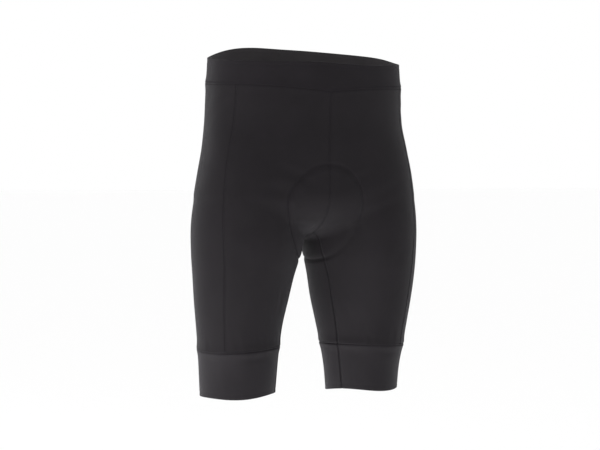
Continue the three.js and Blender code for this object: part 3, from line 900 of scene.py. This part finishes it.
def cuff(side, materials):
    """A cuff and its outer points."""
    is_mirrored = side == MIRRORED_SIDE
    drop = CUFF_SEAM["z"] - HEM["z"]
    rows = []
    for share in seam_spacing(drop, CUFF_ROWS) / drop:
        section = cuff_section(share)
        rows.append(np.concatenate([front_row(section), back_row(section)[1:-1]]))
    base = np.array(rows)
    gaps = grid_distances(base, is_ring=True)
    join = np.minimum(gaps["first"], gaps["last"])
    side_seam = gaps["first"][:, FRONT_COLUMNS : FRONT_COLUMNS + 1]
    from_next = np.minimum(join, np.abs(gaps["first"] - side_seam))
    depth = np.where(
        gaps["first"] < side_seam,
        cuff_groove_depth(side, "front", from_next),
        cuff_groove_depth(side, "back", from_next),
    )
    relief = seam_swell(gaps["top"]) + seam_groove(gaps["top"], depth)
    relief += seam_groove(join, DRAWN_GROOVE)
    relief += edge_line(gaps["bottom"], HEM_LINE_PLACE)
    walls = dressed_wall(base, relief, CUFF_WALL, is_mirrored)
    outer, inner = (mirrored(points, is_mirrored) for points in walls)
    made = wall_object(
        f"cuff_{side}_knit",
        outer,
        inner,
        materials,
        is_ring=True,
        is_mirrored=is_mirrored,
        rolled_bottom=True,
    )
    return made, outer


def pad_points(angle, width):
    """Points of the body at a straight distance from the rise, on the side of the width's sign."""
    start = rise_point(angle)
    down = np.stack([np.zeros_like(angle), -np.cos(angle), -np.sin(angle)], -1)
    side = np.sign(width)[..., None] * np.array([1.0, 0, 0])

    def point_at(turn):
        reach = np.abs(width)[..., None]
        return start + reach * (side * np.cos(turn)[..., None] + down * np.sin(turn)[..., None])

    quarter = np.full_like(angle, 90 * DEGREE)
    return point_at(edge_between(-quarter, quarter, point_at))


def pad(materials):
    """The pad: crowned in the middle, thin at its outline, with channels in its inner face."""
    even = np.linspace(0, 1, PAD_ROWS + 1)
    share = mix(even, (1 - np.cos(math.pi * even)) / 2, PAD_ROW_EASING)
    angle = mix(PAD_START + PAD_END_MARGIN, PAD_END - PAD_END_MARGIN, share)
    place = np.linspace(-1, 1, PAD_COLUMNS + 1)
    grid_angle = np.repeat(angle[:, None], len(place), axis=1)
    half = pad_half_width(grid_angle, place[None] < 0)
    points = pad_points(grid_angle, half * place[None])
    normals = outward_normals(points)
    centre_inset = pad_inset(rise_point(angle))
    ramp = smooth_step(centre_inset / PAD_CROWN_RAMP)[:, None]
    crown = (1 - place[None] ** 2) * ramp
    thickness = mix(PAD_EDGE_THICKNESS, PAD_MIDDLE_THICKNESS, crown)
    for channel, depth, reach in PAD_CHANNELS:
        gap = (np.abs(place)[None] - channel) * half
        thickness = thickness - depth * bell(gap, reach) * ramp * (1 - PAD_CHANNEL_FADE * channel)
    thickness = np.maximum(thickness, PAD_THINNEST)
    outer = points - normals * (PANEL_WALL + PAD_CLEARANCE)
    inner = outer - normals * thickness[..., None]
    return wall_object("seat_pad_foam", outer, inner, materials)


# Stitches: grains of thread lying on the cloth. The aim is how far ahead of its middle and
# behind it a stitch looks along its path for its direction.
STITCH = {"length": 2.6, "gap": 0.7, "half width": 0.38, "height": 0.34, "lift": 0.14}
STITCH_AIM = 0.6
STITCH_ROUND = 6
STITCH_STATIONS = [
    # place along the half length, share of the full thickness
    (-1, 0.15),
    (-0.8, 0.7),
    (0, 1),
    (0.8, 0.7),
    (1, 0.15),
]


def stitch_shape():
    """Points and faces of a grain of thread: a ring at each station, narrow at both ends."""
    turns = np.linspace(0, FULL_TURN, STITCH_ROUND, endpoint=False)
    points = []
    for along, size in STITCH_STATIONS:
        for turn in turns:
            points.append([along, size * math.cos(turn), size * math.sin(turn)])
    faces = []
    for low in range(0, len(points) - STITCH_ROUND, STITCH_ROUND):
        high = low + STITCH_ROUND
        for k in range(STITCH_ROUND):
            beside = (k + 1) % STITCH_ROUND
            faces.append([low + k, low + beside, high + beside, high + k])
    return np.array(points), np.array(faces)


def stitches_on(path, is_closed=False):
    """Vertices and faces of a run of stitches along a path on the cloth."""
    if is_closed:
        path = np.vstack([path, path[:1]])
    total = lengths_along(path)[-1]
    pitch = STITCH["length"] + STITCH["gap"]
    count = max(int(total / pitch), 1)
    centres = (np.arange(count) + 0.5) * total / count
    middle = spread(path, centres)
    ahead = unit(spread(path, centres + STITCH_AIM) - spread(path, centres - STITCH_AIM))
    up = outward_normals(middle)
    up = unit(up - ahead * np.sum(up * ahead, axis=-1, keepdims=True))
    side = np.cross(up, ahead)
    shape, faces = stitch_shape()
    half = STITCH["length"] / 2
    points = (
        middle[:, None]
        + ahead[:, None] * shape[None, :, :1] * half
        + side[:, None] * shape[None, :, 1:2] * STITCH["half width"]
        + up[:, None] * (shape[None, :, 2:] * STITCH["height"] / 2 + STITCH["lift"])
    )
    starts = np.arange(count)[:, None, None] * len(shape)
    return points.reshape(-1, 3), (faces[None] + starts).reshape(-1, 4)


def stitch_object(name, lines, threads):
    """Runs of stitches. Each line is a path, whether it closes, and the number of its thread."""
    all_points, all_faces, of_faces, used = [], [], [], 0
    for path, is_closed, thread in lines:
        points, faces = stitches_on(path, is_closed)
        all_points.append(points)
        all_faces.append(faces + used)
        of_faces.append(np.full(len(faces), thread, dtype=np.int32))
        used += len(points)
    faces = np.vstack(all_faces).tolist()
    return mesh_object(
        name, np.vstack(all_points), faces, threads, material_of_faces=np.concatenate(of_faces)
    )


def column_line(outer, distance, from_last=False):
    """The line down a grid at a distance from its first or last column."""
    rows = outer[:, ::-1] if from_last else outer
    return np.array([spread(row, np.array([distance]))[0] for row in rows])


def row_line(outer, distance, from_last=False):
    """The line across a grid at a distance from its first or last row."""
    columns = outer[::-1] if from_last else outer
    return column_line(columns.swapaxes(0, 1), distance)


# Camera, with its lens in millimetres and its shifts as shares of the picture
CAMERA_DISTANCE = 2.2
CAMERA_HEIGHT = -0.170
CAMERA_AZIMUTH = -23.5 * DEGREE
SENSOR_WIDTH = 36
LENS = 88.6
SHIFT_X = -0.0075
SHIFT_Y = -0.0833


def build_camera():
    """The camera stands level, at the photograph's angle, with the lens shifted as framed."""
    data = bpy.data.cameras.new("camera")
    data.sensor_width = SENSOR_WIDTH
    data.lens = LENS
    data.shift_x = SHIFT_X
    data.shift_y = SHIFT_Y
    made = add_object("camera", data)
    made.location = (
        CAMERA_DISTANCE * math.sin(CAMERA_AZIMUTH),
        -CAMERA_DISTANCE * math.cos(CAMERA_AZIMUTH),
        CAMERA_HEIGHT,
    )
    made.rotation_euler = (math.pi / 2, 0, CAMERA_AZIMUTH)
    bpy.context.scene.camera = made


# Area lights, with their power in watts: soft light from the left, and a glow from below
LIGHTS = [
    # name, place, aim, width, height, power
    ("left_soft_box", (-2.5, 0.2, -0.25), (0, 0, -0.25), 0.8, 1.6, 22),
    ("low_left", (-0.9, -0.75, -0.85), (-0.1, 0, -0.4), 0.6, 0.3, 12.2),
    ("low_right", (1.2, -0.9, -0.8), (0, 0, -0.4), 0.8, 0.3, 2.6),
    ("under_legs", (0.03, -0.05, -0.93), (0, 0, -0.3), 0.15, 0.4, 2.2),
    ("under_right_leg", (-0.25, 0.1, -0.93), (0.1, 0, -0.35), 0.2, 0.4, 5.5),
]


def build_lights():
    for name, place, aim, width, height, power in LIGHTS:
        data = bpy.data.lights.new(name, "AREA")
        data.shape = "RECTANGLE"
        data.size, data.size_y = width, height
        data.energy = power
        made = add_object(name, data)
        made.location = place
        made.rotation_euler = (Vector(aim) - Vector(place)).to_track_quat("-Z", "Y").to_euler()


def build_floor():
    """A wide pale floor, so far below that it meets the white surroundings out of sight."""
    paint = plain_material("floor_paint", (0.985, 0.985, 0.985), roughness=0.9, gloss=0.1)
    half, level = 70, -0.95
    mesh = bpy.data.meshes.new("floor")
    corners = [(-half, -half, level), (half, -half, level), (half, half, level), (-half, half, level)]
    mesh.from_pydata(corners, [], [(0, 1, 2, 3)])
    mesh.materials.append(paint)
    add_object("floor", mesh)


def build_stage():
    world = bpy.data.worlds.new("studio")
    world.use_nodes = True
    background = world.node_tree.nodes["Background"]
    background.inputs["Color"].default_value = (1, 1, 1, 1)
    background.inputs["Strength"].default_value = 1
    bpy.context.scene.world = world
    bpy.context.scene.view_settings.view_transform = "Standard"
    build_floor()
    build_lights()


# Knits and threads, in linear colours
KNITS = {
    # name: colour, roughness, sheen, width of a wale
    "panel_knit": ((0.0080, 0.0067, 0.0081), 0.62, 0.056, 0.5),
    "band_knit": ((0.0099, 0.0084, 0.0101), 0.72, 0.056, 0.7),
    # The cuff knit is a lighter copy of the panel knit: painted light for the brighter light that falls
    # on the cuffs
    "cuff_knit": ((0.0095, 0.0081, 0.0097), 0.6, 0.064, 0.45),
    "pad_cloth": ((0.016, 0.015, 0.018), 0.85, 0.2, 0.9),
    # The inside knit is much lighter than the outside: partly a paler inner face, partly painted light
    # where the inside gets little light
    "inside_knit_painted_light": ((0.043, 0.0395, 0.042), 0.85, 0.2, 0.55),
}
KNIT_GLOSS = 0.085
SHEEN_ROUGHNESS = 0.4
SHEEN_TINT = (0.93, 0.92, 0.97, 1)

# Fine ribs of a knit. The period is that of a wave texture whose scale is 1.
WAVE_PERIOD = math.pi / 10
WALE_DISTORTION = 0.6
WALE_DETAIL = 1
WALE_STRENGTH = 0.4
WALE_DEPTH = 0.25 * MM

# Unevenness of the dye and the nap: its fineness, and how far it goes up and down
MOTTLE_SCALE = 22
MOTTLE_DETAIL = 4
MOTTLE_RANGE = (0.35, 0.65)
DYE_VARIATION = 0.08
NAP_VARIATION = 0.04

THREADS = {
    # The tonal thread is lighter than the knits, with painted sheen in place of the sheen and gloss that
    # the thread lacks
    "tonal_thread_painted_sheen": (0.0155, 0.0138, 0.0160),
    "dark_thread": (0.006, 0.0055, 0.0063),
}
THREAD_ROUGHNESS = 0.9


def add_wales(nodes, links, shader, wale):
    uv = nodes.new("ShaderNodeUVMap")
    uv.uv_map = "cloth"
    wales = nodes.new("ShaderNodeTexWave")
    wales.wave_type = "BANDS"
    wales.bands_direction = "X"
    wales.inputs["Scale"].default_value = WAVE_PERIOD / (wale * MM)
    wales.inputs["Distortion"].default_value = WALE_DISTORTION
    wales.inputs["Detail"].default_value = WALE_DETAIL
    links.new(uv.outputs["UV"], wales.inputs["Vector"])
    bump = nodes.new("ShaderNodeBump")
    bump.inputs["Strength"].default_value = WALE_STRENGTH
    bump.inputs["Distance"].default_value = WALE_DEPTH
    links.new(wales.outputs["Fac"], bump.inputs["Height"])
    links.new(bump.outputs["Normal"], shader.inputs["Normal"])


def add_mottle(nodes, links, shader, colour, roughness):
    place = nodes.new("ShaderNodeTexCoord")
    mottle = nodes.new("ShaderNodeTexNoise")
    mottle.inputs["Scale"].default_value = MOTTLE_SCALE
    mottle.inputs["Detail"].default_value = MOTTLE_DETAIL
    links.new(place.outputs["Object"], mottle.inputs["Vector"])
    tint = nodes.new("ShaderNodeValToRGB")
    shades = (1 - DYE_VARIATION, 1 + DYE_VARIATION)
    for stop, position, shade in zip(tint.color_ramp.elements, MOTTLE_RANGE, shades):
        stop.color = [channel * shade for channel in colour] + [1]
        stop.position = position
    links.new(mottle.outputs["Fac"], tint.inputs["Fac"])
    links.new(tint.outputs["Color"], shader.inputs["Base Color"])
    nap = nodes.new("ShaderNodeMapRange")
    nap.inputs["To Min"].default_value = roughness - NAP_VARIATION
    nap.inputs["To Max"].default_value = roughness + NAP_VARIATION
    links.new(mottle.outputs["Fac"], nap.inputs["Value"])
    links.new(nap.outputs["Result"], shader.inputs["Roughness"])


def knit_material(name, colour, roughness, sheen, wale):
    """Stretch knit: fine wales down the cloth and a little unevenness of the dye and the nap."""
    made = bpy.data.materials.new(name)
    made.use_nodes = True
    nodes, links = made.node_tree.nodes, made.node_tree.links
    shader = nodes["Principled BSDF"]
    shader.inputs["Specular IOR Level"].default_value = KNIT_GLOSS
    shader.inputs["Sheen Weight"].default_value = sheen
    shader.inputs["Sheen Roughness"].default_value = SHEEN_ROUGHNESS
    shader.inputs["Sheen Tint"].default_value = SHEEN_TINT
    add_wales(nodes, links, shader, wale)
    add_mottle(nodes, links, shader, colour, roughness)
    return made


def plain_material(name, colour, roughness, gloss):
    made = bpy.data.materials.new(name)
    made.use_nodes = True
    shader = made.node_tree.nodes["Principled BSDF"]
    shader.inputs["Base Color"].default_value = (*colour, 1)
    shader.inputs["Roughness"].default_value = roughness
    shader.inputs["Specular IOR Level"].default_value = gloss
    return made


def thread_material(name, colour):
    return plain_material(name, colour, THREAD_ROUGHNESS, gloss=0)


# Numbers of the two threads: one lighter than the knit, with painted sheen so that it matches the lit
# cloth, and a dark one at the drawn seams
TONAL = 0
DARK = 1

# Distances of the stitches from the seams that run down and from those that run across
STITCHES_BESIDE = 1.2
STITCHES_ACROSS = 1.8


def cuff_thread(side, part):
    depths = CUFF_GROOVES[side]
    return DARK if depths[part] == max(depths.values()) else TONAL


def panel_lines(outer, part, side):
    """Stitch lines along a panel's middle seam, its side seam and both its cross seams."""
    is_back = part == "back"
    middle = column_line(outer, STITCHES_BESIDE, from_last=is_back)
    beside = column_line(outer, STITCHES_BESIDE, from_last=not is_back)
    return [
        (middle[: TORSO_ROWS + 1], False, TONAL),
        (middle[TORSO_ROWS:], False, DARK),
        (beside, False, TONAL),
        (row_line(outer, STITCHES_ACROSS), False, TONAL),
        (row_line(outer, STITCHES_ACROSS, from_last=True), False, cuff_thread(side, part)),
    ]


def cuff_lines(outer, side):
    """Stitch lines along a cuff's seam, front and back, and on both sides of its join."""
    top = row_line(outer, STITCHES_ACROSS)
    return [
        (top[: FRONT_COLUMNS + 1], False, cuff_thread(side, "front")),
        (top[FRONT_COLUMNS:], False, cuff_thread(side, "back")),
        (column_line(outer, STITCHES_BESIDE), False, DARK),
        (column_line(outer, STITCHES_BESIDE, from_last=True), False, DARK),
    ]


def waistband_lines(outer):
    return [(row_line(outer, STITCHES_ACROSS, from_last=True), True, TONAL)]


def pad_outline_lines():
    """The stitch line round the pad, which lies on the panels outside."""
    turn = np.linspace(PAD_OUTLINE_START, math.pi - PAD_OUTLINE_START, PAD_OUTLINE_POINTS)
    place = -np.cos(turn)
    angle = mix(PAD_START, PAD_END, (place + 1) / 2)
    sides = []
    for sign in (1, -1):
        points = pad_points(angle, sign * pad_half_width(angle, sign < 0))
        form = pad_form(points) + crease_form(points)
        sides.append(points + outward_normals(points) * form[:, None])
    return [(np.vstack([sides[0], sides[1][::-1]]), True, TONAL)]


# How much longer the worn knit is than its cut, round the body and down it
STRETCH_ROUND = 1.2
STRETCH_DOWN = 1.04


def cut_of(outer, is_ring):
    """A piece's cut on the table, in metres: its width, its length and its area."""
    grid = np.concatenate([outer, outer[:, :1]], axis=1) if is_ring else outer
    gaps = grid_distances(grid)
    width = float(gaps["first"][:, -1].max()) * MM / STRETCH_ROUND
    length = float(gaps["top"][-1].max()) * MM / STRETCH_DOWN
    ahead, down = grid[:-1, 1:] - grid[:-1, :-1], grid[1:, :-1] - grid[:-1, :-1]
    area = float(np.linalg.norm(np.cross(ahead, down), axis=-1).sum()) * MM**2
    return width, length, area / (STRETCH_ROUND * STRETCH_DOWN)


# Slots of the cloth pieces, and the knits that they wear outside
SLOTS = {"front": "panel_knit", "back": "panel_knit", "cuff": "cuff_knit", "waistband": "band_knit"}


def build_cloth(knits):
    """The cloth pieces, each with its outer points and its stitch lines, by node."""
    sections = panel_sections()
    rows = {
        "front": np.array([front_row(section) for section in sections]),
        "back": np.array([back_row(section) for section in sections]),
    }
    # Every piece wears the inside knit, with its painted light, on its inner face
    worn = {part: [knits[slot], knits["inside_knit_painted_light"]] for part, slot in SLOTS.items()}
    pieces = {}
    for side in ("left", "right"):
        for part in ("front", "back"):
            cloth, outer = panel(part, side, rows[part], worn[part])
            pieces[f"{part}_{side}"] = (cloth, outer, panel_lines(outer, part, side))
        cloth, outer = cuff(side, worn["cuff"])
        pieces[f"cuff_{side}"] = (cloth, outer, cuff_lines(outer, side))
    cloth, outer = waistband(worn["waistband"])
    pieces["waistband"] = (cloth, outer, waistband_lines(outer))
    return pieces


def declare_cloth(node, cloth, outer, sewing):
    """Hangs a cloth piece and its stitches on the root and hides the part of the model that it stands
    for. Its cut is worked out but not kept.
    """
    part = node.split("_")[0]
    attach(cloth, "root")
    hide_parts(node)
    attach(sewing, "root")
    width, length, area = cut_of(outer, is_ring=part in ("cuff", "waistband"))


def build_pad(knits, threads):
    foam = pad([knits["pad_cloth"]])
    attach(foam, "root")
    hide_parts("seat_pad")
    outline = stitch_object("seat_pad_outline_stitches", pad_outline_lines(), threads)
    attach(outline, "root")


def build_garment():
    knits = {name: knit_material(name, *looks) for name, looks in KNITS.items()}
    threads = [thread_material(name, colour) for name, colour in THREADS.items()]
    for node, (cloth, outer, lines) in build_cloth(knits).items():
        sewing = stitch_object(f"{node}_stitches", lines, threads)
        declare_cloth(node, cloth, outer, sewing)
    build_pad(knits, threads)


build_camera()
build_stage()
build_garment()
